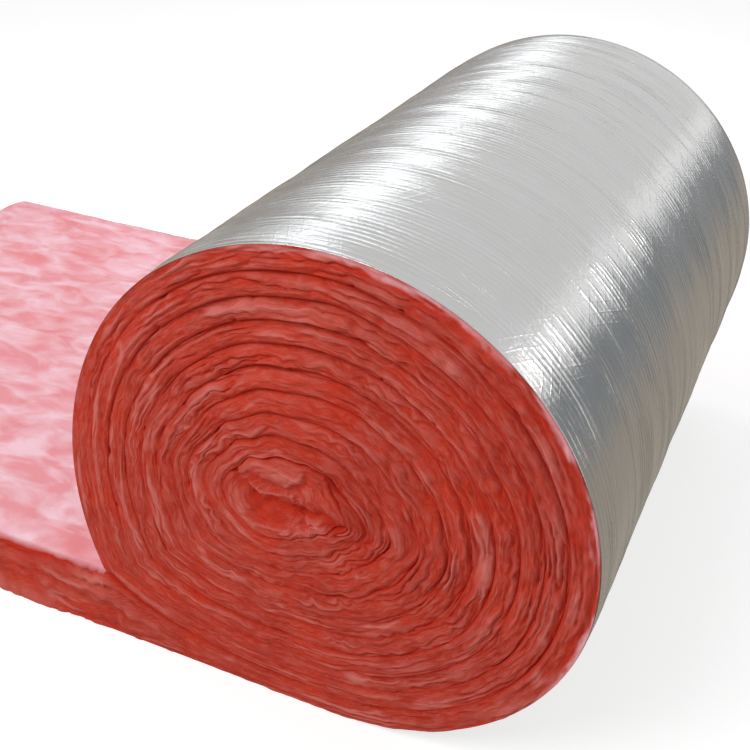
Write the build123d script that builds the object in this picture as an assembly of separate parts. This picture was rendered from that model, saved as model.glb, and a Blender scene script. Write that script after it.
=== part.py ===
from build123d import *
import math
import os

# Glass wool insulation blanket with a foil face, rolled up, its outer end peeled off flat.
# The roll lies on its side with its axis along Y. The peeled end runs towards -X.
# The origin is on the floor under the middle of the roll. Millimetres and degrees.

# The blanket as stock
blanket_width = 1200.0
free_thickness = 108.0       # at the cut end of the tail, foil included
foil_thickness = 0.3

# The roll on the floor: three tangent arcs over a flat bottom
roll_height = 767.0
body_radius = 400.0          # right upper side, top and left upper side
sag_radius = 500.0           # left side, where the roll hangs out over its tail
sag_start = 150.0            # where the flatter side begins, anticlockwise from +X

# The peeled end
tail_reach = 1529.0          # from under the middle of the roll to the cut end
nip_thickness = 119.0        # where the tail goes in under the roll
cut_edge_radius = 12.0       # soft upper edge of the cut end

# The winding, seen on both ends as one groove from the nip to the eye
layer_count = 11.0           # layers from the face of the roll to its eye
seam_start = -0.012          # the groove opens into the gap over the tail just before the nip
into_eye = 0.05              # part of a turn that the groove runs on inside the eye's channel
closing_gap = 0.6            # layers that the winding would still need to close on the eye
eye_shift = -37.0            # the eye sits towards the tail from the middle of the roll
groove_mouth = 7.0
groove_bottom = 1.6
groove_depth = 13.0
cut_past = 1.0               # how far the groove's cutter stands out of the end
arcs_per_turn = 8            # arcs that draw one turn of the groove

# The eye: the first fold of the blanket leaves a flat channel from end to end
eye_width = 132.0
eye_height = 26.0
eye_drop = 14.0              # the channel lies below the eye of the winding

# Places that follow from those sizes
centre_height = roll_height - body_radius
corner_radius = centre_height
corner_x = body_radius - corner_radius
sag_x = (body_radius - sag_radius) * math.cos(math.radians(sag_start))
sag_height = centre_height + (body_radius - sag_radius) * math.sin(math.radians(sag_start))
nip_x = sag_x - math.sqrt(sag_radius**2 - (sag_height - nip_thickness) ** 2)
nip_on_arc = 180 + math.degrees(math.asin((sag_height - nip_thickness) / sag_radius))
nip_angle = math.degrees(math.atan2(nip_thickness - centre_height, nip_x - eye_shift)) + 360
sag_angle = math.degrees(
    math.atan2(
        body_radius * math.sin(math.radians(sag_start)),
        body_radius * math.cos(math.radians(sag_start)) - eye_shift,
    )
)
closing_turn = layer_count - closing_gap
groove_end = round(layer_count) - 1 + (180 - nip_angle) / 360 + into_eye


def on_circle(centre, radius, angle):
    """The point of a circle at an angle, anticlockwise from +X."""
    turn = math.radians(angle)
    return (centre[0] + radius * math.cos(turn), centre[1] + radius * math.sin(turn))


def arc(centre, radius, start, end):
    """An arc between two angles, drawn through its middle."""
    angles = (start, (start + end) / 2, end)
    return ThreePointArc(*[on_circle(centre, radius, angle) for angle in angles])


def roll_face(inset):
    """The roll's face from its flat bottom round to the nip, set in by a thickness."""
    arc((corner_x, centre_height), corner_radius - inset, 270, 360)
    arc((0, centre_height), body_radius - inset, 0, sag_start)
    arc((sag_x, sag_height), sag_radius - inset, sag_start, nip_on_arc)


def ray_to_circle(centre, radius, angle):
    """From the eye out to a circle round it, along an angle."""
    turn = math.radians(angle)
    away = (centre[0] - eye_shift, centre[1] - centre_height)
    along = away[0] * math.cos(turn) + away[1] * math.sin(turn)
    return along + math.sqrt(along**2 + radius**2 - away[0] ** 2 - away[1] ** 2)


def face_distance(angle):
    """From the eye to the roll's face, from the bottom (270) round to the nip."""
    if angle < 360:
        floor_x = eye_shift - centre_height / math.tan(math.radians(angle - 180))
        if floor_x < corner_x:
            return -centre_height / math.sin(math.radians(angle))
        return ray_to_circle((corner_x, centre_height), corner_radius, angle)
    if angle < 360 + sag_angle:
        return ray_to_circle((0, centre_height), body_radius, angle)
    return ray_to_circle((sag_x, sag_height), sag_radius, angle)


def first_turn(angle):
    """From the eye to the seam one layer in, over the first turn from the nip."""
    inner = 1 - 1 / layer_count
    if angle >= 270:
        return face_distance(angle) * inner
    nip_distance = math.hypot(nip_x - eye_shift, nip_thickness - centre_height)
    dip = math.sin(math.radians(90 * (angle - nip_angle) / (270 - nip_angle)))
    return nip_distance + (centre_height * inner - nip_distance) * dip


def at(point, y):
    """A point of the section, given as (x, z), in the plane across the roll at y."""
    return Vector(point[0], y, point[1])


def core_distance(angle):
    """From the eye to the oval that the winding closes on."""
    turn = math.radians(angle)
    return 1 / math.hypot(math.cos(turn) / (eye_width / 2), math.sin(turn) / eye_height)


def seam_point(turn, offset):
    """A point of the seam between the turns, a number of turns in from the nip."""
    part_turn = turn - math.floor(max(turn, 0))
    angle = nip_angle + 360 * turn
    core = core_distance(angle)
    outside_core = first_turn(nip_angle + 360 * part_turn) - core
    left = (closing_turn - turn) / (closing_turn - part_turn)
    return on_circle((eye_shift, centre_height), core + outside_core * left + offset, angle)


def seam_side(offset, y):
    """One side of the seam, as arcs from the nip in to the eye."""
    count = round(arcs_per_turn * groove_end)
    step = (groove_end - seam_start) / (2 * count)
    marks = [seam_start + step * i for i in range(2 * count + 1)]
    points = [at(seam_point(turn, offset), y) for turn in marks]
    return [ThreePointArc(*points[2 * i : 2 * i + 3]) for i in range(count)]


def seam_face(width, y):
    """The seam as a ribbon of one width, in the plane across the roll at y."""
    outer = seam_side(width / 2, y)
    inner = seam_side(-width / 2, y)
    ends = [Line(outer[0] @ 0, inner[0] @ 0), Line(outer[-1] @ 1, inner[-1] @ 1)]
    return Face(Wire([curve.edge() for curve in outer + inner + ends]))


def seam_groove():
    """The groove that shows the turns on the near end, narrower with depth."""
    end_y = -blanket_width / 2
    widening = (groove_mouth - groove_bottom) / groove_depth * cut_past
    mouth = seam_face(groove_mouth + widening, end_y - cut_past)
    bottom = seam_face(groove_bottom, end_y + groove_depth)
    return loft([mouth, bottom], ruled=True)


def glass_wool_blanket():
    """The wool, wound into one body with its flat tail, an eye and a groove on each end."""
    outer_nip = (nip_x, nip_thickness)
    inner_nip = on_circle((sag_x, sag_height), sag_radius - foil_thickness, nip_on_arc)
    cut_top = (-tail_reach, free_thickness)
    with BuildPart() as wool:
        with BuildSketch(Plane.XZ):
            with BuildLine():
                Line((-tail_reach, foil_thickness), (corner_x, foil_thickness))
                roll_face(foil_thickness)
                Line(inner_nip, outer_nip)
                Line(outer_nip, cut_top)
                Line(cut_top, (-tail_reach, foil_thickness))
            make_face()
        extrude(amount=blanket_width / 2, both=True)
        cut_end_edges = wool.edges().filter_by(Axis.Y).sort_by(Axis.X)[:2]
        fillet(cut_end_edges.sort_by(Axis.Z)[-1], cut_edge_radius)
        with BuildSketch(Plane.XZ):
            with Locations((eye_shift, centre_height - eye_drop)):
                SlotOverall(eye_width, eye_height)
        extrude(amount=blanket_width / 2, both=True, mode=Mode.SUBTRACT)
        near_groove = seam_groove()
        add(near_groove, mode=Mode.SUBTRACT)
        add(mirror(near_groove, about=Plane.XZ), mode=Mode.SUBTRACT)
    return wool.part


def foil_facing():
    """The foil, under the tail and round the roll, its inner end pinched in the nip."""
    sag_centre = (sag_x, sag_height)
    outer_nip = on_circle(sag_centre, sag_radius, nip_on_arc)
    inner_nip = on_circle(sag_centre, sag_radius - foil_thickness, nip_on_arc)
    with BuildPart() as foil:
        with BuildSketch(Plane.XZ):
            with BuildLine():
                Line((-tail_reach, 0), (corner_x, 0))
                roll_face(0)
                Line(outer_nip, inner_nip)
                roll_face(foil_thickness)
                Line((corner_x, foil_thickness), (-tail_reach, foil_thickness))
                Line((-tail_reach, foil_thickness), (-tail_reach, 0))
            make_face()
        extrude(amount=blanket_width / 2, both=True)
    return foil.part


os.makedirs("parts", exist_ok=True)
export_step(glass_wool_blanket(), "parts/glass_wool_blanket.step")
export_step(foil_facing(), "parts/foil_facing.step")
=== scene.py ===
import bpy
import numpy as np
from mathutils import Matrix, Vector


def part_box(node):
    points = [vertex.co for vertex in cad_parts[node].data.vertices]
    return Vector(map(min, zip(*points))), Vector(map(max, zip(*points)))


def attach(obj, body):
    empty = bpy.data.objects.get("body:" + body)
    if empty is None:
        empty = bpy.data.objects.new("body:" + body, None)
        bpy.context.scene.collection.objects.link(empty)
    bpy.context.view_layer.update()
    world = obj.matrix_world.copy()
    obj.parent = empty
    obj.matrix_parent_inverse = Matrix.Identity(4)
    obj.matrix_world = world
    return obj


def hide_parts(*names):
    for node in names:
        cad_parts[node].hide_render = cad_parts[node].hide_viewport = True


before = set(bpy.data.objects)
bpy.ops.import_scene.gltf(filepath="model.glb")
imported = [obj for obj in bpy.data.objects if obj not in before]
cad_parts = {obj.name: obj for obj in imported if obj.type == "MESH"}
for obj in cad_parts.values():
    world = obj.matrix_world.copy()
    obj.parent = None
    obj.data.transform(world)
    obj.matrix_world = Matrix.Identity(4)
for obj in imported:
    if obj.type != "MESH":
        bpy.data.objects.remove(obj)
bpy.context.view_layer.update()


# The wound mat.
# One long mat of bonded glass fibres, coral red, pressed to a third of its thickness as it is wound up.
# Its two cut edges show the laminae of the mat, creased and buckled by the winding.

foil_low, foil_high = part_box("foil_facing")
half_width = foil_high.y
tail_reach = -foil_low.x
body_radius = foil_high.x
eye_z = foil_high.z - body_radius
foil_thickness = 0.0003
sag_radius = 0.5             # the flatter left side, where the roll hangs out over its tail
sag_start = np.radians(150)
nip_thickness = 0.119        # where the tail goes in under the roll
free_thickness = 0.108       # at the cut end
layer_count = 11
closing_gap = 0.6            # layers that the winding would still need to close on the eye
mat_end_turn = 8.55          # where the core begins, in turns from the nip
eye_x = -0.037
eye_half_width = 0.066
eye_half_height = 0.026

closing_turn = layer_count - closing_gap
corner_x = body_radius - eye_z
sag_x = (body_radius - sag_radius) * np.cos(sag_start)
sag_z = eye_z + (body_radius - sag_radius) * np.sin(sag_start)
nip_x = sag_x - np.sqrt(sag_radius**2 - (sag_z - nip_thickness) ** 2)
nip_angle = np.arctan2(nip_thickness - eye_z, nip_x - eye_x) + 2 * np.pi
bottom_turn = (1.5 * np.pi - nip_angle) / (2 * np.pi)

lattice = 256                # points each way before a random field repeats


def smooth(value, low, high):
    """Rises from 0 at low to 1 at high, level at both."""
    share = np.clip((value - low) / (high - low), 0, 1)
    return share * share * (3 - 2 * share)


def clouds(along, across, seed):
    """Soft random field, from about -1 to 1. Random heights at whole numbers, joined by smooth steps. A place
    in metres divided by a size gives clouds of that size."""
    table = np.random.default_rng(seed).uniform(-1, 1, (lattice, lattice))
    i, j = np.floor(along).astype(int), np.floor(across).astype(int)
    p, q = smooth(along - i, 0, 1), smooth(across - j, 0, 1)
    near = table[i % lattice, j % lattice] * (1 - p) + table[(i + 1) % lattice, j % lattice] * p
    far = table[i % lattice, (j + 1) % lattice] * (1 - p) + table[(i + 1) % lattice, (j + 1) % lattice] * p
    return near * (1 - q) + far * q


def wander(along, seed):
    """Soft random line, from about -1 to 1. The clouds along one row of their lattice."""
    return clouds(along, 0 * along, seed)


def turn_angle(turn):
    """The angle about the eye, from +X towards +Z, at a number of turns in from the nip."""
    return nip_angle + 2 * np.pi * turn


def on_circle(centre_x, centre_z, radius, angle):
    """From the eye out to a circle round it, along an angle."""
    along = (centre_x - eye_x) * np.cos(angle) + (centre_z - eye_z) * np.sin(angle)
    apart = (centre_x - eye_x) ** 2 + (centre_z - eye_z) ** 2
    return along + np.sqrt(along**2 + radius**2 - apart)


def face_distance(angle):
    """From the eye to the roll's face: its flat bottom, its corner, its round top and its flatter side."""
    from_bottom = np.mod(angle - 1.5 * np.pi, 2 * np.pi)
    flat_end = np.arctan2(corner_x - eye_x, eye_z)
    sag_place = (body_radius * np.cos(sag_start) - eye_x, body_radius * np.sin(sag_start))
    sag_from_bottom = np.arctan2(sag_place[1], sag_place[0]) + np.pi / 2
    return np.select(
        [from_bottom < flat_end, from_bottom < np.pi / 2, from_bottom < sag_from_bottom],
        [
            eye_z / np.cos(np.minimum(from_bottom, flat_end)),
            on_circle(corner_x, eye_z, eye_z, angle),
            on_circle(0, eye_z, body_radius, angle),
        ],
        on_circle(sag_x, sag_z, sag_radius, angle),
    )


def first_turn(angle):
    """From the eye to the seam over the first turn: one layer in from the face, after a dip from the nip."""
    inner = 1 - 1 / layer_count
    nip_distance = np.hypot(nip_x - eye_x, nip_thickness - eye_z)
    dip = np.sin(np.pi / 2 * np.minimum((angle - nip_angle) / (1.5 * np.pi - nip_angle), 1))
    dipping = nip_distance + (eye_z * inner - nip_distance) * dip
    return np.where(angle < 1.5 * np.pi, dipping, face_distance(angle) * inner)


wave_seed = 11
fewest_waves = 2             # a turn
most_waves = 18
wave_drift = 0.1             # waves that a turn may gain or lose
stray_outside = 0.0012       # of one wave, in the outer turns
stray_inside = 0.0030        # added to it towards the eye
even_squeeze = 0.008         # the inner turns are pressed in, and more from the right
side_squeeze = 0.016


def seam_wave(turn):
    """How far the seam strays from its even spiral. Sines of 2 to 18 waves a turn, each drifting a little
    from turn to turn so that neighbours nest. It is nothing on the face and grows towards the eye, where the
    core is squeezed too."""
    random = np.random.default_rng(wave_seed)
    waves = np.arange(fewest_waves, most_waves + 1)[:, None]
    drift = random.uniform(-wave_drift, wave_drift, waves.shape)
    phase = random.uniform(0, 1, waves.shape)
    turns = np.ravel(turn)[None, :]
    total = (np.cos(2 * np.pi * ((waves + drift) * turns + phase)) / waves**0.75).sum(axis=0)
    growth = stray_outside + stray_inside * np.clip(turns[0] / closing_turn, 0, 1) ** 1.5
    squeeze = (even_squeeze + side_squeeze * np.cos(turn_angle(turns[0]))) * smooth(turns[0], 5, 8.2)
    return (growth * smooth(turns[0], 0.1, 0.5) * total - squeeze).reshape(np.shape(turn))


def seam(turn, shift):
    """A point of the spiral seam, turns in from the nip, moved out from the eye by shift. The winding closes
    evenly from the first turn on to a flat oval round the eye. Before the nip it is the roll's face."""
    part = turn - np.floor(np.maximum(turn, 0))
    angle = turn_angle(turn)
    oval = 1 / np.hypot(np.cos(angle) / eye_half_width, np.sin(angle) / eye_half_height)
    left = (closing_turn - turn) / (closing_turn - part)
    inside = oval + (first_turn(turn_angle(part)) - oval) * left
    distance = np.where(turn < 0, face_distance(angle), inside) + seam_wave(turn) + shift
    return eye_x + distance * np.cos(angle), eye_z + distance * np.sin(angle)


tight_gap = 0.0003
loose_gap = 0.0007           # added at most, in random stretches towards the core
gaping_gap = 0.0009          # added in one place of each turn by the core
gaping_part = 0.52           # that place, as a part of a turn from the nip
gaping_width = 0.13


def seam_gap(turn):
    """Half the gap between two turns: the thickness of the facing, and in towards the core a little more, in
    random stretches and in one bell in each turn."""
    loose = smooth(turn, 4, 9) * np.clip(wander(turn * 9, 5), 0, 1)
    gaping = np.exp(-(((np.mod(turn, 1) - gaping_part) / gaping_width) ** 2)) * smooth(turn, 6.8, 7.2)
    return tight_gap + loose_gap * loose + gaping_gap * gaping


flat_steps = 300
under_steps = 120
wound_steps = 12000
wound_from = flat_steps + under_steps
under_clearance = 0.0004     # from the tail's wool side to the facing over it
face_clearance = 0.0008      # from the wool to the outer face of the facing
end_thinning = 0.97
thinning_turns = 0.2


def lay_out_mat():
    """The length from the cut end, the foil side, the wool side and the turn, at places along the mat. It
    lies flat to the nip, goes in under the roll, and then winds, a turn between its two sides, and thins out
    at its end."""
    flat_x = np.linspace(-tail_reach, nip_x, flat_steps, endpoint=False)
    flat_top = np.interp(flat_x, [-tail_reach, nip_x], [free_thickness, nip_thickness])
    flat = (flat_x, np.full(flat_steps, foil_thickness), flat_x, flat_top, np.full(flat_steps, -1.0))
    under_turn = np.linspace(0, bottom_turn, under_steps, endpoint=False)
    under_top = seam(under_turn, under_clearance)
    under = (under_top[0], np.full(under_steps, foil_thickness), *under_top, under_turn - 1)
    turn = np.linspace(bottom_turn - 1, mat_end_turn, wound_steps)
    outer = np.array(seam(turn, -np.where(turn < 0, face_clearance, seam_gap(turn))))
    inner = np.array(seam(turn + 1, seam_gap(turn + 1)))
    inner = inner + (outer - inner) * end_thinning * smooth(turn, mat_end_turn - thinning_turns, mat_end_turn)
    wound = (*outer, *inner, turn)
    outer_x, outer_z, inner_x, inner_z, turn = (np.concatenate(part) for part in zip(flat, under, wound))
    steps = np.hypot(np.diff(outer_x + inner_x), np.diff(outer_z + inner_z)) / 2
    return np.concatenate([[0], np.cumsum(steps)]), outer_x, outer_z, inner_x, inner_z, turn


mat_along, mat_outer_x, mat_outer_z, mat_inner_x, mat_inner_z, mat_turn = lay_out_mat()
nip_length = np.interp(nip_x, mat_outer_x[:flat_steps], mat_along[:flat_steps])


def mat_at(length):
    """The mat's two sides and its turn at distances along it from the cut end."""
    sides = (mat_outer_x, mat_outer_z, mat_inner_x, mat_inner_z, mat_turn)
    return [np.interp(length, mat_along, side) for side in sides]


pillow_height = 0.0065
lump_height = 0.0034
strand_height = 0.0008
tuft_height = 0.0009
thread_height = 0.0012
crease_depth = 0.0034
mean_height = 0.002          # what the relief would stand out by, taken off it
crown_height = 0.0018        # the middle of a layer over its two sides
lean_height = 0.0028         # the wool side of a layer over its foil side
turn_shift = 0.0030          # a turn in or out from its neighbours
seam_drop = 0.0036           # a layer's sides under its middle
drop_change = 0.0022
seam_rounding = 0.0040       # how far in from a seam a layer rounds off
pressed_rounding = 0.0016    # less of it where the turns are pressed together
face_edge_height = 0.0035    # the edge on the roll's face, which the facing holds up
slack_angle = 0.9            # the turns hang slack at the upper right
pressed_angle = -0.9         # and are pressed together at the lower right


def cut_laminae(length, across, edge, turn, seed):
    """The relief of a cut edge in metres, its painted light and painted shade, where it lies between the
    bent laminae, and how pale the rim of the roll's face is. Soft pillows of fibre lie along the mat, parted
    by creases and bent by waves and buckles. Towards a seam, an edge away, a layer drops and rounds off with
    an exponential, most where the turns are slack and least where they are pressed. On the roll's face its
    edge stands up. Pale threads and painted light on the tops of the pillows and lumps make it lighter;
    painted shade takes light off near the seams and gives a saturated red to the creases, seams and pits."""
    loose = smooth(turn, -1, 8)
    bend = 0.09 * clouds(length / 0.060, across * 2.3, seed)
    bend = bend + 0.06 * clouds(length / 0.019, across * 4, seed + 1)
    buckled = smooth(clouds(length / 0.23, across * 1.3, seed + 2), -0.2, 0.5)
    buckle = 0.22 * buckled * (np.abs(clouds(length / 0.024, across * 1.2, seed + 3)) - 0.3)
    place = across + (bend + buckle) * (0.7 + 0.7 * loose)

    pillows = np.abs(clouds(length / 0.075, place * 4.6, seed + 12))
    lumps = np.abs(clouds(length / 0.024, place * 7, seed + 4))
    strands = clouds(length / 0.012, place * 13, seed + 5)
    tufts = clouds(length / 0.0085, place * 6, seed + 6)
    crease = np.exp(-pillows / 0.06) * smooth(clouds(length / 0.10, place * 2, seed + 13), -0.5, 0.3)
    thread = np.exp(-((clouds(length / 0.12, place * 3.7, seed + 7) / 0.10) ** 2))
    thread = thread * smooth(clouds(length / 0.09, place * 1.5, seed + 14), 0.0, 0.45)
    height = pillow_height * pillows + lump_height * lumps + strand_height * strands + tuft_height * tufts
    height = height + thread_height * thread - crease_depth * crease

    outermost = (across < 0.5) * smooth(-turn, -0.004, 0.004)
    pressed = smooth(np.cos(turn_angle(turn) - pressed_angle), 0.2, 0.9)
    slack = smooth(np.cos(turn_angle(turn) - slack_angle), -0.4, 0.7)
    vigour = 0.5 + 0.5 * np.maximum(slack, smooth(-turn, 0.90, 0.99))
    rounding = np.exp(-edge / (seam_rounding - pressed_rounding * pressed))
    rounding = rounding * (1 - outermost) * (1 - 0.5 * pressed)
    side = np.round(across)
    drop = (0.2 + 0.8 * slack) * (seam_drop + drop_change * clouds(length / 0.07, side * 3, seed + 8))
    pits = smooth(clouds(length / 0.018, side * 5, seed + 15), 0.62, 0.84)
    pits = pits * smooth(clouds(length / 0.2, side * 5, seed + 18), -0.1, 0.3)
    crown = crown_height * np.sin(np.pi * np.clip(across, 0, 1))
    lean = lean_height * slack * (2 * np.clip(across, 0, 1) - 1)
    shift = turn_shift * wander(turn * 2.3, seed + 9)
    height = height * vigour * (1 - (0.35 + 0.65 * slack) * rounding)
    height = height - (drop + (0.005 + 0.005 * slack) * pits) * rounding
    height = height + crown + lean + shift - mean_height
    stand = face_edge_height * np.exp(-edge / 0.008) - mean_height
    height = height + outermost * np.maximum(stand - height, 0)

    above = (across < 0.5) * smooth(-turn, 0.30, 0.42) * smooth(turn, -0.72, -0.62)
    rim_width = 0.0048 + 0.0050 * wander(length / 0.055, seed + 11)
    rim_width = rim_width + 0.0030 * clouds(length / 0.011, place * 9, seed + 16)
    rim_patch = smooth(clouds(length / 0.045, across * 6, seed + 17), -0.60, 0.35)
    face_rim = above * rim_patch * smooth(rim_width - edge, -0.0040, 0.0036)
    # A band under the pale rim, which the painted shade colours a saturated red.
    warm = above * smooth(edge, 0.003, 0.010) * smooth(-edge, -0.024, -0.013)

    # Painted light on the tops of the pillows and lumps, in patches, with the pale threads; near the seams
    # painted shade takes it off.
    patch = smooth(clouds(length / 0.11, place * 2.5, seed + 10), -0.5, 0.6)
    light = 0.55 * smooth(pillows, 0.25, 0.75) * patch + 0.25 * smooth(lumps, 0.3, 0.8)
    light = light + (1 - 0.3 * slack) * thread
    light = light * (1 - 0.8 * np.exp(-edge / 0.0035) * (1 - outermost))
    # Painted shade, a saturated red: in the creases, along the seams, in the pits and in the band under the
    # rim.
    seam_shade = (0.5 + 0.4 * slack - 0.2 * pressed) * np.exp(-edge / 0.0030) * (1 - outermost)
    painted_shade = np.clip((0.5 + 0.3 * slack) * crease + 0.6 * warm + seam_shade + pits * rounding, 0, 1)
    return height, np.clip(light + face_rim, 0, 1), painted_shade * (1 - face_rim), place, face_rim


def quads_of_grid(rows, columns):
    """Row and column numbers of every quad's four corners, the columns running on past the last one."""
    row = np.arange(rows - 1)[:, None, None] + np.array([0, 0, 1, 1])
    column = np.arange(columns)[None, :, None] + np.array([1, 0, 0, 1])
    return np.broadcast_arrays(row, column)


def closed_piece(name, points, uv, fields, material):
    """A closed piece from a grid of points. Each row is a ring round the piece, joined to the next row by
    quads, and the first and last rings are filled, with sharp edges. The UV grid has one column more, where
    the ring closes."""
    rows, columns = points.shape[:2]
    row, column = quads_of_grid(rows, columns)
    ring = np.arange(columns)
    last = (rows - 1) * columns
    corners = np.concatenate([(row * columns + column % columns).ravel(), ring, last + ring[::-1]])
    corner_uv = np.concatenate([uv[row, column].reshape(-1, 2), uv[0, :-1], uv[-1, :-1][::-1]])
    quad_count = (rows - 1) * columns
    starts = np.concatenate([np.arange(quad_count) * 4, quad_count * 4 + np.array([0, columns])])
    mesh = bpy.data.meshes.new(name)
    mesh.vertices.add(rows * columns)
    mesh.vertices.foreach_set("co", points.astype(np.float32).ravel())
    mesh.loops.add(len(corners))
    mesh.loops.foreach_set("vertex_index", corners.astype(np.int32))
    mesh.polygons.add(len(starts))
    mesh.polygons.foreach_set("loop_start", starts.astype(np.int32))
    mesh.update(calc_edges=True)
    mesh.polygons.foreach_set("use_smooth", np.arange(len(starts)) < quad_count)
    corner_edges = np.empty(len(corners), dtype=np.int32)
    mesh.loops.foreach_get("edge_index", corner_edges)
    sharp = np.zeros(len(mesh.edges), dtype=bool)
    sharp[corner_edges[4 * quad_count:]] = True
    mesh.edges.foreach_set("use_edge_sharp", sharp)
    mesh.uv_layers.new(name="along_mat").uv.foreach_set("vector", corner_uv.astype(np.float32).ravel())
    for field, values in fields.items():
        attribute = mesh.attributes.new(field, "FLOAT", "POINT")
        attribute.data.foreach_set("value", values.astype(np.float32).ravel())
    mesh.materials.append(material)
    piece = bpy.data.objects.new(name, mesh)
    bpy.context.scene.collection.objects.link(piece)
    return piece


def add_node(tree, kind, inputs=None, **settings):
    """A new shader node, with its settings by name, and inputs as plain values or other nodes' outputs."""
    node = tree.nodes.new("ShaderNode" + kind)
    for setting, value in settings.items():
        setattr(node, setting, value)
    for socket, value in (inputs or {}).items():
        if isinstance(value, bpy.types.NodeSocket):
            tree.links.new(value, node.inputs[socket])
        else:
            node.inputs[socket].default_value = value
    return node


def placed(tree, place, scale=(1, 1, 1), turn=(0, 0, 0), shift=(0, 0, 0)):
    """A place scaled, then turned and then shifted."""
    inputs = {"Vector": place, "Location": shift, "Rotation": turn, "Scale": scale}
    return add_node(tree, "Mapping", inputs).outputs["Vector"]


def noise(tree, place, scale, detail, distortion=0.0, roughness=0.5):
    """Fractal noise at a place, mostly from 0.3 to 0.7."""
    inputs = {
        "Vector": place, "Scale": scale, "Detail": detail, "Distortion": distortion, "Roughness": roughness,
    }
    return add_node(tree, "TexNoise", inputs).outputs["Fac"]


def ramp(tree, value, low, high, least=0.0, most=1.0):
    """Straight up from least where a value is low to most where it is high, and level beyond."""
    inputs = {"Value": value, "From Min": low, "From Max": high, "To Min": least, "To Max": most}
    return add_node(tree, "MapRange", inputs).outputs[0]


def times_plus(tree, value, factor, added):
    """A value times a factor, with another value added."""
    return add_node(tree, "Math", {0: value, 1: factor, 2: added}, operation="MULTIPLY_ADD").outputs[0]


def mix_colours(tree, share, first, second):
    """The output of a node that goes from the first colour to the second by a share."""
    mix = add_node(tree, "Mix", data_type="RGBA")
    for socket, value in ((0, share), (6, first), (7, second)):
        if isinstance(value, bpy.types.NodeSocket):
            tree.links.new(value, mix.inputs[socket])
        else:
            mix.inputs[socket].default_value = value
    return mix.outputs[2]


def srgb(red, green, blue):
    """A colour as the eye reads it, 0 to 255, turned to the linear values that a shader takes."""
    share = np.array([red, green, blue]) / 255
    linear = np.where(share <= 0.04045, share / 12.92, ((share + 0.055) / 1.055) ** 2.4)
    return (*linear.tolist(), 1.0)


cut_red = srgb(180, 50, 34)
cut_coral = srgb(192, 68, 53)
cut_orange = srgb(205, 60, 36)
# The pink of the pale threads and of the painted highlights, and the saturated red of the painted shade.
thread_and_highlight_pink = srgb(214, 116, 106)
crevice_shade_red = srgb(196, 46, 24)
# The skin's own pale pink, near white and coral, made paler with painted light where the top of the mat is
# lit.
lit_skin_rose = srgb(245, 160, 168)
lit_skin_pale = srgb(255, 210, 221)
lit_skin_coral = srgb(240, 128, 128)
sheen_pink = srgb(255, 190, 185)


def new_material(name):
    """A material without nodes, and its node tree."""
    material = bpy.data.materials.new(name)
    material.use_nodes = True
    material.node_tree.nodes.clear()
    return material, material.node_tree


def wool_material():
    """Glass wool: coral red cut laminae with pale pink threads, painted pink highlights on their ridges and
    painted shade of a saturated red in their crevices, and the pale pink skin of the mat's face, made paler
    with painted light, both broken up by fibres that run along the mat."""
    material, tree = new_material("glass_wool")
    place = add_node(tree, "TexCoord").outputs["Object"]
    mat_place = add_node(tree, "UVMap", uv_map="along_mat").outputs["UV"]
    light = add_node(tree, "Attribute", attribute_name="light").outputs["Fac"]
    painted_shade = add_node(tree, "Attribute", attribute_name="painted_shade").outputs["Fac"]
    skin = add_node(tree, "Attribute", attribute_name="skin").outputs["Fac"]
    strands = noise(tree, placed(tree, mat_place, scale=(62, 520, 1)), scale=1, detail=6, distortion=0.9)
    mottle = noise(tree, place, scale=34, detail=5)
    glow = noise(tree, place, scale=11, detail=4, distortion=0.6)
    fuzz = noise(tree, place, scale=330, detail=4, roughness=0.75)

    # The cut laminae: red and coral at random with orange patches, turned pink by strands, pale threads and
    # painted light, and saturated red by painted shade.
    body = mix_colours(tree, ramp(tree, mottle, 0.35, 0.65), cut_red, cut_coral)
    warm_body = mix_colours(tree, ramp(tree, glow, 0.46, 0.66, most=0.75), body, cut_orange)
    strands_and_painted_light = times_plus(tree, ramp(tree, strands, 0.46, 0.66), 0.32, light)
    lit = mix_colours(tree, strands_and_painted_light, warm_body, thread_and_highlight_pink)
    cut = mix_colours(tree, painted_shade, lit, crevice_shade_red)

    wisp_place = placed(tree, place, scale=(10, 21, 10), turn=(0, 0, 0.5))
    wisps = noise(tree, wisp_place, scale=1, detail=7, distortion=0.8)
    blotch = noise(tree, place, scale=8, detail=5, distortion=0.5)
    # The skin: pale pink with wisps and coral blotches, made paler with painted light.
    pale = mix_colours(tree, ramp(tree, wisps, 0.38, 0.64), lit_skin_rose, lit_skin_pale)
    face = mix_colours(tree, ramp(tree, blotch, 0.52, 0.74, most=0.65), pale, lit_skin_coral)
    coloured = mix_colours(tree, skin, cut, face)

    relief = times_plus(tree, strands, 0.7, fuzz)
    bump = add_node(tree, "Bump", {"Height": relief, "Strength": 0.7, "Distance": 0.0016}).outputs["Normal"]
    shader = add_node(tree, "BsdfPrincipled", {
        "Base Color": coloured, "Roughness": 1.0, "Specular IOR Level": 0.0, "Sheen Weight": 0.05,
        "Sheen Roughness": 0.7, "Sheen Tint": sheen_pink, "Normal": bump,
    })
    add_node(tree, "OutputMaterial", {"Surface": shader.outputs[0]})
    return material


wool = wool_material()


def finish_wool(piece):
    """Puts a piece of wool in the place of the blanket's plain solid."""
    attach(piece, "root")
    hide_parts("glass_wool_blanket")


near_seed = 20               # the same for every piece, so that their laminae run on
far_seed = 60
ring_step = 0.0038           # along the mat
wall_inset = 0.012           # from a cut edge to the first ring points on the two sides of the mat
most_fluff = 0.0005          # how far a cut edge spreads over the facing beside it
rim_skin = 0.6               # how much of the pale skin shows in the rim


def across_cut(start, count):
    """Places across a cut edge, from start, 0 on the foil side or 1 on the wool side, to the other side. A
    half plus half a cosine, so that they lie closest at both sides."""
    return (0.5 + (start - 0.5) * np.cos(np.linspace(0, np.pi, count)))[None, :]


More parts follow.
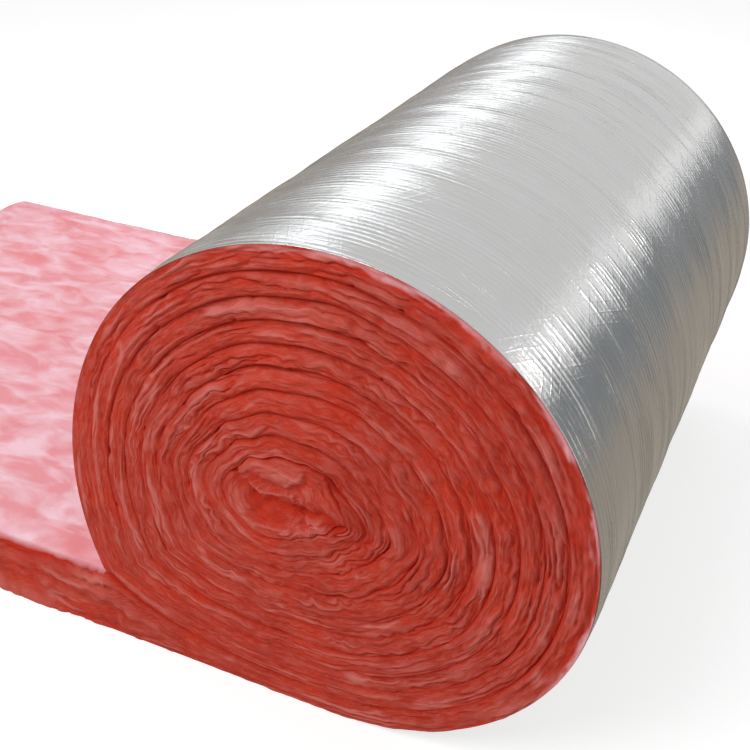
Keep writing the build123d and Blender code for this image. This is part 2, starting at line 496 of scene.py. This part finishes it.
def wound_wool(name, first, last):
    """A length of the wound mat, as rings round its section: the near cut edge with its laminae, the wool
    side, the far cut edge and the foil side. The cut edges fluff out over the facing on both sides."""
    length = np.linspace(first, last, int((last - first) / ring_step))[:, None]
    outer_x, outer_z, inner_x, inner_z, turn = mat_at(length)
    thick = np.hypot(inner_x - outer_x, inner_z - outer_z)
    near, far = across_cut(start=0, count=44), across_cut(start=1, count=16)
    near_edge, far_edge = np.minimum(near, 1 - near) * thick, np.minimum(far, 1 - far) * thick
    near_out, near_light, near_shade, near_place, near_rim = cut_laminae(
        length, near, near_edge, turn, near_seed
    )
    far_out, far_light, far_shade, far_place, far_rim = cut_laminae(length, far, far_edge, turn, far_seed)
    fluff = 1 + 2 * np.minimum(most_fluff, 0.4 * thick) * smooth(turn, 0, 0.03) / thick

    full, bare = np.ones((len(length), 2)), np.zeros((len(length), 2))
    wall_y = np.array([[-1.0, 1.0]]) * (half_width - wall_inset) * full
    across = np.concatenate([0.5 + (near - 0.5) * fluff, full, 0.5 + (far - 0.5) * fluff, bare], axis=1)
    y = np.concatenate([-half_width - near_out, wall_y, half_width + far_out, -wall_y], axis=1)
    x = outer_x + (inner_x - outer_x) * across
    z = outer_z + (inner_z - outer_z) * across
    points = np.stack([x, y, z], axis=2)
    # The painted light and painted shade of the two cut edges, and the pale skin of the rim.
    fields = {
        "light": np.concatenate([near_light, bare, far_light, bare], axis=1),
        "painted_shade": np.concatenate([near_shade, full, far_shade, full], axis=1),
        "skin": np.concatenate([rim_skin * near_rim, bare, rim_skin * far_rim, bare], axis=1),
    }
    section = np.concatenate([near_place, full, far_place, bare, near_place[:, :1]], axis=1) * thick
    uv = np.stack([np.broadcast_to(length, section.shape), section], axis=2)
    finish_wool(closed_piece(name, points, uv, fields, wool))


middle_turn = 1.5            # where the middle and the inner turns begin, in turns from the nip
inner_turn = 4.2
middle_from, inner_from = np.interp(
    [middle_turn, inner_turn], mat_turn[wound_from:], mat_along[wound_from:]
)
wound_wool("wool_outer_turns", nip_length, middle_from)
wound_wool("wool_middle_turns", middle_from, inner_from)
wound_wool("wool_inner_turns", inner_from, mat_along[-1])


# The flat end of the mat.
# Its outer end is peeled off the roll and springs back to its full thickness, wool side up.
# The skin of the wool side is pale and cloudy, paler still with painted light, and its side and its cut end
# are cut through the laminae.

loft_height = 0.0035         # of the soft swells on top
nap_height = 0.0014          # of the nap over them
top_sink = 0.0022            # keeps them inside the mat's thickness
cut_rounding = 0.010         # how far the top sinks at the cut end
side_rounding = 0.006        # and along its two sides
shoulder = 0.007             # how far the upper edge of a side sinks
end_seed = 90
end_start = 3                # the length along the mat that the laminae of the cut end are drawn at
end_sink = 0.006             # takes the relief of the cut end back in, less towards its edges


def flat_wool(name):
    """The tail as rings round its section, near edge, top, far edge and underside, closed at the cut end by
    rings that shrink to the middle of its thickness. The top is clouds of two sizes and a finer nap."""
    rows, end_rows = 196, 22
    near_points, top_points, far_points, under_points = 40, 196, 18, 4
    far_from = near_points + top_points
    far_to = far_from + far_points
    length = np.linspace(0, nip_length, rows)[:, None]
    outer_x, outer_z, _, inner_z, turn = mat_at(length)
    thick = inner_z - outer_z
    near, far = across_cut(start=0, count=near_points), across_cut(start=1, count=far_points)
    near_edge, far_edge = np.minimum(near, 1 - near) * thick, np.minimum(far, 1 - far) * thick
    near_out, near_light, near_shade, near_place, _ = cut_laminae(length, near, near_edge, turn, near_seed)
    far_out, far_light, far_shade, far_place, _ = cut_laminae(length, far, far_edge, turn, far_seed)
    top_y = np.linspace(-1, 1, top_points)[None, :] * (half_width - 0.011)
    under_y = np.linspace(1, -1, under_points)[None, :] * (half_width - 0.02)
    top = length * 0 + top_y
    under = length * 0 + under_y

    loft = clouds(length / 0.16, top_y / 0.19, 31) + 0.45 * clouds(length / 0.06, top_y / 0.07, 32)
    nap = np.abs(clouds(length / 0.03 + top_y / 0.07, top_y / 0.03, 33))
    nap = nap + 0.5 * clouds(length / 0.011, top_y / 0.011, 34)
    rounding = np.exp(-(length + 0.003) / 0.008)
    edge_drop = side_rounding * np.exp(-(half_width - np.abs(top_y)) / 0.016)
    held = smooth(nip_length - length, 0, 0.05)
    relief = loft_height * loft + nap_height * nap - top_sink
    top_z = inner_z + held * relief - edge_drop - cut_rounding * rounding

    across = np.concatenate([near, np.ones((1, top_points)), far, np.zeros((1, under_points))], axis=1)
    z = outer_z + (inner_z - outer_z) * across
    z[:, near_points:far_from] = top_z
    z[:, :near_points] -= (cut_rounding * rounding + shoulder) * near**4
    z[:, far_from:far_to] -= (cut_rounding * rounding + shoulder) * far**4
    y = np.concatenate([-half_width - near_out, top, half_width + far_out, under], axis=1)
    x = np.broadcast_to(outer_x, y.shape)

    shrink = np.linspace(0.95, 0.05, end_rows)[:, None]
    middle = free_thickness / 2
    end_z = middle + (z[:1] - middle) * (1 - shrink)
    end_y = y[:1] * (1 - shrink * middle / half_width)
    end_along = end_y + end_start
    end_edge = np.minimum(end_z, free_thickness - end_z)
    end_out, end_light, end_shade, end_place, _ = cut_laminae(
        end_along, end_z / free_thickness, end_edge, end_z * 0 - 1, end_seed
    )
    end_x = -tail_reach + end_sink - end_out - end_sink * (1 - shrink) ** 6
    points = np.stack([
        np.concatenate([end_x, x]), np.concatenate([end_y, y]), np.concatenate([end_z, z]),
    ], axis=2)

    free = smooth(nip_length - length, 0, 0.15)
    # Along the top of the near side, where it rounds over, painted light on the saturated red of the painted
    # shade.
    upper_painted_light = 0.30 * smooth(near, 0.6, 0.95)
    upper_painted_red = 0.7 * free * smooth(near, 0.72, 0.95)
    from_near = half_width + top_y + 0.012 * clouds(length / 0.05, top_y / 0.05, 35)
    from_cut = length + 0.01 * clouds(top_y / 0.04, length, 36)
    top_skin = smooth(from_near, -0.010, 0.016) * smooth(from_cut, -0.01, 0.02)
    far_skin = smooth(far, 0.80, 1.0) + length * 0
    light = np.concatenate([near_light + upper_painted_light, top * 0, far_light, under * 0], axis=1)
    painted_shade = np.concatenate([near_shade + upper_painted_red, top * 0 + 0.7, far_shade, under * 0], axis=1)
    skin = np.concatenate([np.zeros((rows, near_points)), top_skin, far_skin, under * 0], axis=1)
    # The cut end keeps part of its painted light and painted shade; the top's painted shade shows only where
    # its skin gives out.
    fields = {
        "light": np.concatenate([end_light * 0.6, light]),
        "painted_shade": np.clip(np.concatenate([end_shade * 0.5, painted_shade]), 0, 1),
        "skin": np.concatenate([end_light * 0, skin]),
    }
    section = np.concatenate([near_place * thick, 0.2 + top, far_place * thick, under], axis=1)
    side_uv = np.stack(np.broadcast_arrays(length, section), axis=2)
    uv = np.concatenate([np.stack([end_along, end_place * free_thickness], axis=2), side_uv])
    uv = np.concatenate([uv, uv[:, :1]], axis=1)
    finish_wool(closed_piece(name, points, uv, fields, wool))


flat_wool("wool_flat_end")


# The core.
# The inner end of the mat is folded over and squeezed into the eye of the winding.
# Its folds stand up as soft lobes round a flat hollow.

def near_line(x, z, line):
    """The distance from each place to a broken line, the least of the distances to its straight parts."""
    nearest = np.full(x.shape, np.inf)
    for (x0, z0), (x1, z1) in zip(line[:-1], line[1:]):
        along = ((x - x0) * (x1 - x0) + (z - z0) * (z1 - z0)) / ((x1 - x0) ** 2 + (z1 - z0) ** 2)
        along = np.clip(along, 0, 1)
        nearest = np.minimum(nearest, np.hypot(x - x0 - along * (x1 - x0), z - z0 - along * (z1 - z0)))
    return nearest


def core_folds(x, z):
    """The lobes and hollows of the folded end, with painted light on the lobes and ridges and painted shade
    in the hollows and creases. Each is a bell across a broken line, in millimetres from the eye, on ground
    that clouds have warped."""
    x, z = x + 0.004 * clouds(x / 0.017, z / 0.017, 61), z + 0.004 * clouds(x / 0.017, z / 0.017, 62)

    def fold(width, *line):
        """A bell across a broken line."""
        return np.exp(-((near_line(x * 1000, z * 1000, line) / width) ** 2))

    hollow = fold(
        11, (-66, -2), (-51, -9), (-36, -3), (-18, -2),
        (0, -4), (12, -8), (24, -9), (46, 0), (60, -8), (70, -14),
    )
    branch = fold(6, (14, -8), (19, -26))
    side_crease = fold(6, (-104, 44), (-90, 30), (-77, 18), (-64, 4))
    under_crease = fold(8, (-68, 38), (-50, 30), (-30, 24), (-12, 27), (10, 40), (20, 54))
    tongue = smooth(1.3 - np.hypot((x + 0.033) / 0.030, (z + 0.028) / 0.015), 0, 0.5)
    pillow = fold(13, (-74, 52), (-40, 50), (-10, 46), (8, 52))
    low_lobe = fold(9, (12, -46), (30, -34), (52, -30))
    left_lobe = fold(8, (-84, -6), (-78, -34), (-62, -50))
    ridge = fold(3, (-70, 22), (-50, 14), (-28, 12), (0, 21)) + fold(2.5, (15, 62), (0, 44), (-12, 34))
    ridge = ridge + fold(2.5, (-60, 58), (-20, 60), (14, 50)) + fold(3, (-58, -44), (-30, -48), (-6, -46))
    height = 0.005 * pillow + 0.004 * low_lobe + 0.004 * left_lobe + 0.002 * ridge
    height -= 0.010 * hollow + 0.007 * branch + 0.007 * side_crease + 0.005 * under_crease + 0.005 * tongue
    # Painted light on the lobes and ridges, painted shade in the hollow, its branch, the creases and the
    # tongue.
    light = 0.35 * pillow + 0.4 * low_lobe + 0.4 * left_lobe + 0.5 * ridge
    painted_shade = [0.9 * hollow, 0.7 * branch, 0.5 * side_crease, 0.4 * under_crease, 0.6 * tongue]
    painted_shade = np.maximum.reduce(painted_shade)
    return height, np.clip(light - painted_shade, 0, 1), painted_shade


core_round = 0.55            # once round the core, as a length along the mat
core_layer = 0.034           # the thickness that the laminae of the core are drawn over
core_turn = 8                # the turn that they are drawn for


def core_wool(name):
    """The folded core as rings from the middle of the near end out to the last turn, along the roll, and back
    to the middle of the far end. The laminae follow the last turn, and fade into each other where it
    closes."""
    round_points, near_rings, far_rings = 240, 70, 34
    share = np.linspace(0, 1, round_points, endpoint=False)[None, :]
    turn = mat_end_turn + share
    wound_sides = (mat_inner_x[wound_from:], mat_inner_z[wound_from:])
    rim_x, rim_z = (np.interp(turn - 1, mat_turn[wound_from:], side) for side in wound_sides)
    rim = np.hypot(rim_x - eye_x, rim_z - eye_z)
    inset = 1 - 2 * seam_gap(turn) / rim
    near_ring = np.linspace(0.01, 1, near_rings)[:, None]
    far_ring = np.linspace(1, 0.02, far_rings)[:, None]

    def end_relief(ring, seed):
        """The relief of one end of the core, with its painted light and its painted shade."""
        from_rim = (1 - ring) * rim
        across = from_rim / core_layer
        first = cut_laminae(core_round * share, across, from_rim, turn * 0 + core_turn, seed)
        again = cut_laminae(core_round * (share - 1), across, from_rim, turn * 0 + core_turn, seed)
        laminae = [a + (b - a) * smooth(share, 0.7, 1) for a, b in zip(first[:3], again[:3])]
        height, light, painted_shade = core_folds((rim_x - eye_x) * ring, (rim_z - eye_z) * ring)
        calm = 1 - 0.5 * painted_shade
        height = laminae[0] * calm * (1 - 0.4 * smooth(from_rim, 0, 0.03)) + height
        return height, np.clip(laminae[1] * calm + light, 0, 1), np.maximum(laminae[2], painted_shade)

    near_out, near_light, near_shade = end_relief(near_ring, near_seed)
    far_out, far_light, far_shade = end_relief(far_ring, far_seed)
    ring = np.concatenate([near_ring, far_ring]) * inset
    y = np.concatenate([-half_width - near_out, half_width + far_out])
    points = np.stack([eye_x + (rim_x - eye_x) * ring, y, eye_z + (rim_z - eye_z) * ring], axis=2)
    # The painted light and painted shade of the core's two ends.
    fields = {
        "light": np.concatenate([near_light, far_light]),
        "painted_shade": np.concatenate([near_shade, far_shade]),
        "skin": y * 0,
    }
    round_core = core_round * np.concatenate([share, [[1]]], axis=1)
    uv = np.stack(np.broadcast_arrays(round_core, ring[:, :1] * 0.09), axis=2)
    finish_wool(closed_piece(name, points, uv, fields, wool))


core_wool("wool_core")


# The foil facing.
# Aluminium foil glued over a net of yarns, which stand out as fine ridges round the roll, 11 mm apart.
# It covers one side of the mat, so it is the outside of the roll and the underside of the flat end.

yarn_pitch = 0.01135
yarn_seed = 3
yarn_jitter = 0.0013         # how far a yarn may lie from its place
yarn_half_width = 0.0012
yarn_height = 0.00060
pucker_height = 0.00014      # of the foil between the yarns
wrinkle_height = 0.0011
foil_inset = 0.0012          # from the wool's cut edge to the edge of the facing
arc_lengths = np.array([
    eye_z * np.pi / 2,
    body_radius * sag_start,
    sag_radius * (np.pi + np.arcsin((sag_z - nip_thickness) / sag_radius) - sag_start),
])
floor_length = tail_reach + corner_x
foil_length = floor_length + arc_lengths.sum()


def foil_line(length):
    """The foil's outer face from the cut end: flat, then three arcs, with its outward direction."""
    past = length - floor_length
    marks = np.cumsum(arc_lengths)
    angle = np.select(
        [past < marks[0], past < marks[1]],
        [-np.pi / 2 + past / eye_z, (past - marks[0]) / body_radius],
        sag_start + (past - marks[1]) / sag_radius,
    )
    angle = np.where(past < 0, -np.pi / 2, angle)
    parts = [past < 0, past < marks[0], past < marks[1]]
    centre_x = np.select(parts, [corner_x + past, corner_x, 0.0], sag_x)
    centre_z = np.select([past < marks[1]], [eye_z], sag_z)
    radius = np.select([past < marks[0], past < marks[1]], [eye_z, body_radius], sag_radius)
    out_x, out_z = np.cos(angle), np.sin(angle)
    return centre_x + radius * out_x, centre_z + radius * out_z, out_x, out_z


foil_warm_grey = srgb(184, 183, 180)
foil_cool_grey = srgb(192, 193, 194)


def foil_material():
    """Thin aluminium foil, satin, with a fine crinkle, slanting yarns pressed through it in patches, and
    a few long drawn lines."""
    material, tree = new_material("reinforced_foil")
    place = add_node(tree, "UVMap", uv_map="along_mat").outputs["UV"]
    crinkle = noise(tree, place, scale=95, detail=3, distortion=0.6)
    streaks = noise(tree, placed(tree, place, scale=(20, 150, 1)), scale=1, detail=3)
    heights = times_plus(tree, crinkle, 0.6, streaks)
    for slant, patch_shift in ((0.42, 0.0), (-0.42, 7.0)):
        patch = noise(tree, placed(tree, place, shift=(patch_shift, 0, 0)), scale=13, detail=2)
        amount = ramp(tree, patch, 0.45, 0.65, most=0.2)
        lines = add_node(tree, "TexWave", {
            "Vector": placed(tree, place, turn=(0, 0, slant)), "Scale": 18.4, "Distortion": 1.1, "Detail": 1,
            "Detail Scale": 1.2,
        }, wave_type="BANDS", bands_direction="X", wave_profile="SIN").outputs["Fac"]
        ridge = add_node(tree, "Math", {0: lines, 1: 24.0}, operation="POWER").outputs[0]
        heights = times_plus(tree, ridge, amount, heights)
    drawn_place = placed(tree, place, scale=(2.6, 19, 1), turn=(0, 0, 0.06))
    drawn = noise(tree, drawn_place, scale=1, detail=2, distortion=0.3)
    drawn_lines = add_node(tree, "Math", {0: drawn, 1: 0.5, 2: 0.010}, operation="COMPARE").outputs[0]
    heights = times_plus(tree, drawn_lines, 0.30, heights)
    bump = add_node(tree, "Bump", {"Height": heights, "Strength": 0.8, "Distance": 0.0008}).outputs["Normal"]
    smudge = noise(tree, place, scale=9, detail=4)
    rough = ramp(tree, smudge, 0.3, 0.7, least=0.15, most=0.24)
    colour = mix_colours(tree, smudge, foil_warm_grey, foil_cool_grey)
    shader = add_node(tree, "BsdfPrincipled", {
        "Base Color": colour, "Metallic": 1.0, "Roughness": rough, "Normal": bump,
    })
    add_node(tree, "OutputMaterial", {"Surface": shader.outputs[0]})
    return material


foil = foil_material()


def foil_sheet(name):
    """The facing as rings round its section, its outer face from edge to edge and then its inner face. Each
    yarn is a ridge with its own height and its own weak stretches, and long wrinkles lie over them."""
    floor_rows, roll_rows, inner_points = 26, 178, 48
    on_floor = np.linspace(0, floor_length, floor_rows, endpoint=False)
    on_roll = np.linspace(floor_length, foil_length, roll_rows)
    length = np.concatenate([on_floor, on_roll])[:, None]
    base_x, base_z, out_x, out_z = foil_line(length)
    yarn_count = int(2 * half_width / yarn_pitch)
    yarns = (np.arange(yarn_count) + 0.5) * yarn_pitch
    jitter = np.random.default_rng(yarn_seed).uniform(-yarn_jitter, yarn_jitter, yarn_count)
    offsets = np.array([-0.5 * yarn_pitch, -yarn_half_width, 0.0, yarn_half_width])
    outer_y = (yarns + jitter)[:, None] + offsets[None, :]
    outer_y = np.concatenate([[foil_inset], outer_y.ravel()[1:], [2 * half_width - foil_inset]]) - half_width
    crest = np.concatenate([np.tile([0.0, 0.25, 1.0, 0.25], yarn_count), [0.0]])
    outer_y, crest = outer_y[::-1], crest[::-1]
    inner_y = np.linspace(foil_inset - half_width, half_width - foil_inset, inner_points)
    strength = 0.42 + 0.8 * clouds(length / 0.13, np.round(outer_y / yarn_pitch)[None, :] * 0.7, 41)
    strength = np.clip(strength, 0.06, 1)
    pucker = clouds(length / 0.035, outer_y[None, :] / 0.02, 42)
    free = smooth(length, floor_length - 0.02, floor_length + 0.10) * smooth(foil_length - length, 0, 0.05)

    def wrinkles(y):
        """Long soft creases round the roll, standing out from it, and none at its edges."""
        creases = clouds(length / 0.4, y[None, :] / 0.09, 43)
        creases = creases + 0.4 * clouds(length / 0.15, y[None, :] / 0.05, 44)
        return wrinkle_height * (creases + 1.2) * smooth(half_width - np.abs(y[None, :]), 0, 0.05)

    outer_lift = free * (yarn_height * crest * strength + pucker_height * pucker + wrinkles(outer_y))
    inner_lift = free * wrinkles(inner_y) - foil_thickness
    lift = np.concatenate([outer_lift, inner_lift], axis=1)
    y = np.concatenate([outer_y, inner_y])[None, :] + np.zeros(lift.shape)
    points = np.stack([base_x + out_x * lift, y, base_z + out_z * lift], axis=2)
    round_section = np.concatenate([outer_y, inner_y, outer_y[:1]]) + half_width
    uv = np.stack(np.broadcast_arrays(length, round_section[None, :]), axis=2)
    piece = closed_piece(name, points, uv, {}, foil)
    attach(piece, "root")
    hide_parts("foil_facing")


foil_sheet("foil_outside")


wound_half_thickness = 0.00012
wound_rows = 3600


def foil_between_turns(name):
    """The rest of the facing, wound up between the turns: rings of four points along the seam, its two edges
    a little way in from the cut ends of the wool, and further in near the core."""
    turn = np.linspace(0.02, mat_end_turn + 0.5, wound_rows)[:, None]
    own_length = np.interp(turn, mat_turn, mat_along)
    beside_length = np.interp(turn - 1, mat_turn, mat_along)
    edge = []
    for side, seed in ((-1, near_seed), (1, far_seed)):
        own = cut_laminae(own_length, turn * 0, turn * 0, turn, seed)[0]
        beside = cut_laminae(beside_length, turn * 0 + 1, turn * 0, turn - 1, seed)[0]
        sunk = 0.0035 + 0.002 * wander(turn * 7, 71) + 0.010 * smooth(turn, 6.8, 8.4)
        edge.append(side * (half_width + np.minimum(own, beside) - sunk))
    outer_x, outer_z = seam(turn, wound_half_thickness)
    inner_x, inner_z = seam(turn, -wound_half_thickness)
    points = np.stack([
        np.concatenate([outer_x, inner_x, inner_x, outer_x], axis=1),
        np.concatenate([edge[0], edge[0], edge[1], edge[1]], axis=1),
        np.concatenate([outer_z, inner_z, inner_z, outer_z], axis=1),
    ], axis=2)
    steps = np.hypot(np.diff(outer_x[:, 0]), np.diff(outer_z[:, 0]))
    length = foil_length + np.concatenate([[0], np.cumsum(steps)])[:, None]
    width = 2 * half_width
    uv = np.stack(np.broadcast_arrays(length, np.array([[0.0, 0.0, width, width, 2 * width]])), axis=2)
    piece = closed_piece(name, points, uv, {}, foil)
    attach(piece, "root")
    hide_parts("foil_facing")


foil_between_turns("foil_between_turns")


# The floor.
# A plain pale studio floor, white to the camera, that keeps the soft shadow of the roll.
# In the foil it shows a painted reflection: a fixed warm grey, dimmer than the floor, that it gives off only
# to glossy rays.

floor_reach = 14.0
floor_z = -0.0002


def studio_floor():
    """A flat square sheet just under the blanket."""
    mesh = bpy.data.meshes.new("studio_floor")
    corners = [(x * floor_reach, y * floor_reach, floor_z) for x, y in ((-1, -1), (1, -1), (1, 1), (-1, 1))]
    mesh.from_pydata(corners, [], [(0, 1, 2, 3)])
    material, tree = new_material("studio_floor")
    path = add_node(tree, "LightPath").outputs
    matt = add_node(tree, "BsdfDiffuse", {"Color": (0.60, 0.60, 0.60, 1)}).outputs[0]
    white = add_node(tree, "Emission", {"Color": (1, 1, 1, 1), "Strength": 0.64}).outputs[0]
    seen = add_node(tree, "AddShader", {0: matt, 1: white}).outputs[0]
    bounce = add_node(tree, "BsdfDiffuse", {"Color": (0.8, 0.8, 0.8, 1)}).outputs[0]
    # Painted reflection: to glossy rays the floor gives off a fixed warm grey instead of its own light.
    painted_reflection = add_node(tree, "Emission", {"Color": (0.46, 0.41, 0.35, 1), "Strength": 1.0}).outputs[0]
    plain = add_node(tree, "MixShader", {0: path["Is Camera Ray"], 1: bounce, 2: seen}).outputs[0]
    both = add_node(tree, "MixShader", {0: path["Is Glossy Ray"], 1: plain, 2: painted_reflection}).outputs[0]
    add_node(tree, "OutputMaterial", {"Surface": both})
    mesh.materials.append(material)
    floor = bpy.data.objects.new("studio_floor", mesh)
    bpy.context.scene.collection.objects.link(floor)


studio_floor()


# The studio light.
# Five soft boxes: a long cool one over the tail, a long one to the right, a small one for glints in the foil,
# a broad fill that the foil doesn't show, and a broad one on the cut end.
# Two grey cards give off a fixed grey that only the foil shows, a painted reflection of a darker room.

def with_axes(right, up, back, place):
    """The matrix that gives an object its three axes and its place."""
    turned = np.eye(4)
    turned[:3, 0], turned[:3, 1], turned[:3, 2], turned[:3, 3] = right, up, back, place
    return Matrix(turned.tolist())


def soft_box(name, centre, target, size, strength):
    """A soft box at a place, turned to a target, with its strength as the brightness of its face."""
    lamp = bpy.data.lights.new(name, "AREA")
    lamp.shape = "RECTANGLE"
    lamp.size, lamp.size_y = size
    lamp.energy = strength * np.pi * size[0] * size[1]
    light = bpy.data.objects.new(name, lamp)
    toward = np.subtract(target, centre) / np.linalg.norm(np.subtract(target, centre))
    side = np.cross(toward, (0, 1, 0))
    side = side / np.linalg.norm(side)
    light.matrix_world = with_axes(side, np.cross(side, toward), -toward, centre)
    bpy.context.scene.collection.objects.link(light)
    return light


over_tail = soft_box("box_over_tail", (-0.83, 1.9, 1.36), (-0.83, 1.9, 0.0), (0.58, 3.0), 1.55)
over_tail.data.color = (0.91, 0.96, 1.0)
soft_box("box_right", (1.5, 3.2, 1.26), (0.2, 3.2, 0.9), (0.5, 4.6), 0.35)
soft_box("box_glint", (2.2, 1.8, 1.9), (0.2, 0.0, 0.6), (0.4, 0.4), 7.0)
fill = soft_box("box_fill", (-1.4, 0.5, 2.6), (-0.9, 0.0, 0.1), (1.6, 1.6), 1.3)
fill.visible_glossy = False
soft_box("box_front", (-1.15, -2.6, 3.0), (-0.1, -0.6, 0.35), (1.8, 1.8), 5.9)


def dark_card(name, start, end, low, high, grey):
    """An upright grey card from one place on the floor plan to another, seen only in the foil, where its
    fixed grey is a painted reflection.
    """
    mesh = bpy.data.meshes.new(name)
    mesh.from_pydata([(*start, low), (*end, low), (*end, high), (*start, high)], [], [(0, 1, 2, 3)])
    material, tree = new_material(name)
    # Painted reflection: a fixed grey that only glossy rays see.
    painted_reflection = add_node(tree, "Emission", {"Color": (*grey, 1), "Strength": 1.0}).outputs[0]
    add_node(tree, "OutputMaterial", {"Surface": painted_reflection})
    mesh.materials.append(material)
    card = bpy.data.objects.new(name, mesh)
    card.visible_camera = card.visible_diffuse = card.visible_shadow = False
    bpy.context.scene.collection.objects.link(card)


dark_card("card_right", (1.5, 0.6), (1.5, 6.0), 0.14, 1.0, (0.32, 0.34, 0.36))
dark_card("card_far_left", (-6.2, 5.6), (-1.6, 7.9), 0.2, 1.75, (0.42, 0.40, 0.39))


def studio_world():
    """White all round for the camera and in the foil, and an even light on everything else."""
    world = bpy.data.worlds.new("studio")
    bpy.context.scene.world = world
    world.use_nodes = True
    tree = world.node_tree
    tree.nodes.clear()
    path = add_node(tree, "LightPath").outputs
    rays = {0: path["Is Camera Ray"], 1: path["Is Glossy Ray"]}
    camera_or_glossy = add_node(tree, "Math", rays, operation="MAXIMUM").outputs[0]
    rays = {0: camera_or_glossy, 1: path["Is Transmission Ray"]}
    seen = add_node(tree, "Math", rays, operation="MAXIMUM").outputs[0]
    even = add_node(tree, "Background", {"Color": (1, 1, 1, 1), "Strength": 0.46}).outputs[0]
    white = add_node(tree, "Background", {"Color": (1, 1, 1, 1), "Strength": 1.0}).outputs[0]
    both = add_node(tree, "MixShader", {0: seen, 1: even, 2: white}).outputs[0]
    add_node(tree, "OutputWorld", {"Surface": both})


studio_world()


# The camera.
# It stands in front of the roll, a little to the right of its end, at a standing person's chest height.

camera_place = (0.5576, -1.7267, 1.3423)
camera_turn = 0.4019         # to the left of the roll's axis
camera_drop = 0.5357         # down from level
camera_lean = 0.0464         # about its own line of sight
camera_lens = 54.69
camera_sensor = 36.0


def make_camera():
    """The camera's axes from its turn, drop and lean."""
    forward = np.array([
        -np.sin(camera_turn) * np.cos(camera_drop),
        np.cos(camera_turn) * np.cos(camera_drop),
        -np.sin(camera_drop),
    ])
    level = np.cross(forward, (0, 0, 1))
    level = level / np.linalg.norm(level)
    upright = np.cross(level, forward)
    right = np.cos(camera_lean) * level + np.sin(camera_lean) * upright
    up = np.cos(camera_lean) * upright - np.sin(camera_lean) * level
    camera = bpy.data.objects.new("camera", bpy.data.cameras.new("camera"))
    camera.data.lens = camera_lens
    camera.data.sensor_width = camera_sensor
    camera.matrix_world = with_axes(right, up, -forward, camera_place)
    bpy.context.scene.collection.objects.link(camera)
    bpy.context.scene.camera = camera


make_camera()
bpy.context.scene.view_settings.view_transform = "Standard"
